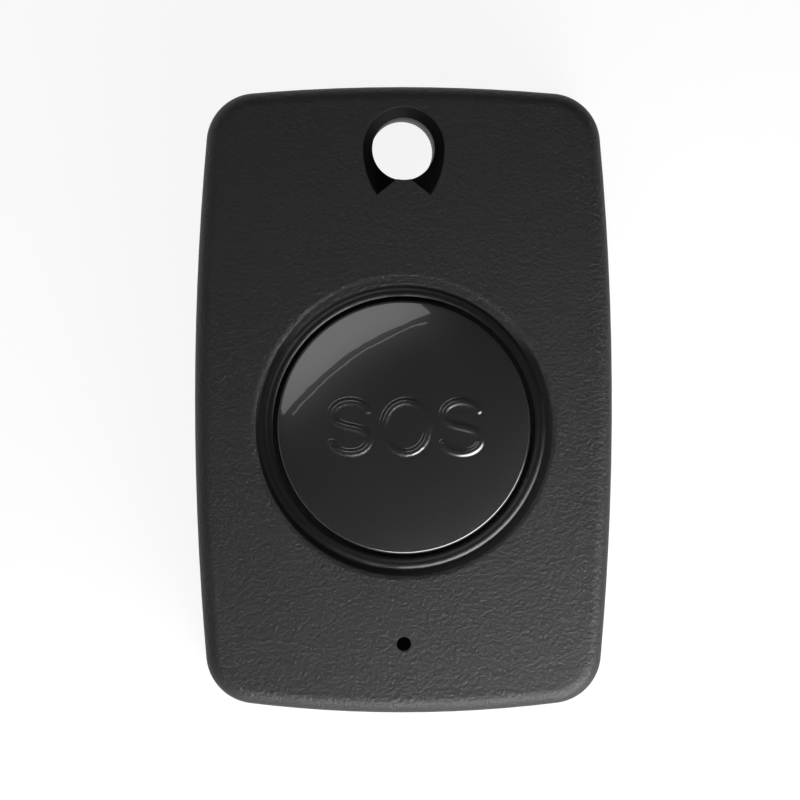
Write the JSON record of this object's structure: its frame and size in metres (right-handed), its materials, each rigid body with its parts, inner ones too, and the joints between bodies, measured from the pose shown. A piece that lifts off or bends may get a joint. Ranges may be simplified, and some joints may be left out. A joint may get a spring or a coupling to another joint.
{
  "type": "wireless panic button",
  "caption": "Flat black keyring alarm transmitter with a large round push button in a shallow well, a scooped keyring hole and a small indicator hole.",
  "frame": {"origin": "middle of the flat back face", "axes": "+Z out of the front face, +Y toward the keyring end, +X across"},
  "size_m": [0.04, 0.06, 0.0132],
  "materials": {
    "housing_plastic": "fine spark-eroded grain, black",
    "cap_plastic": "polished, black",
    "silicone": "matt, dark grey",
    "board_laminate": "green solder mask",
    "cell_steel": "nickel-plated, satin",
    "clear_plastic": "clear, polished",
    "chip_resin": "matt moulded resin, black",
    "crystal_can": "plated lid, satin",
    "sheet_steel": "stamped, nickel-plated",
    "antenna_copper": "stamped strip, gilt",
    "capacitor_ceramic": "fired ceramic, tan",
    "resistor_ceramic": "glazed ceramic, black",
    "screw_steel": "zinc-plated"
  },
  "bodies": {
    "housing": {"front_cover": "housing_plastic", "rear_cover": "housing_plastic", "housing_seal": "silicone", "button_membrane": "silicone", "circuit_board": "board_laminate", "coin_cell": "cell_steel", "light_pipe": "clear_plastic", "indicator_led": "clear_plastic", "controller_chip": "chip_resin", "transmitter_chip": "chip_resin", "switch_base": "chip_resin", "crystal": "crystal_can", "battery_clip": "sheet_steel", "battery_contact": "sheet_steel", "switch_plate": "sheet_steel", "switch_dome": "sheet_steel", "switch_terminal_1": "sheet_steel", "switch_terminal_2": "sheet_steel", "switch_terminal_3": "sheet_steel", "switch_terminal_4": "sheet_steel", "loop_antenna": "antenna_copper", "capacitor_1": "capacitor_ceramic", "capacitor_2": "capacitor_ceramic", "capacitor_3": "capacitor_ceramic", "capacitor_4": "capacitor_ceramic", "capacitor_5": "capacitor_ceramic", "resistor_1": "resistor_ceramic", "resistor_2": "resistor_ceramic", "resistor_3": "resistor_ceramic", "resistor_4": "resistor_ceramic", "resistor_5": "resistor_ceramic", "housing_screw_1": "screw_steel", "housing_screw_2": "screw_steel", "housing_screw_3": "screw_steel", "housing_screw_4": "screw_steel", "board_screw_1": "screw_steel", "board_screw_2": "screw_steel"},
    "cap": {"button_cap": "cap_plastic"},
    "plunger": {"switch_plunger": "chip_resin"}
  },
  "joints": [
    {"name": "button_press", "type": "slide", "parent": "housing", "child": "cap", "axis": [0, 0, -1], "range_m": [0, 0.0005], "stiffness_N_per_m": 2000, "deforming": ["button_membrane"]},
    {"name": "plunger_press", "type": "slide", "parent": "housing", "child": "plunger", "axis": [0, 0, -1], "range_m": [0, 0.00025], "deforming": ["switch_dome"]}
  ],
  "couplings": [
    {"joint": "plunger_press", "follows": "button_press", "ratio": 0.5}
  ]
}
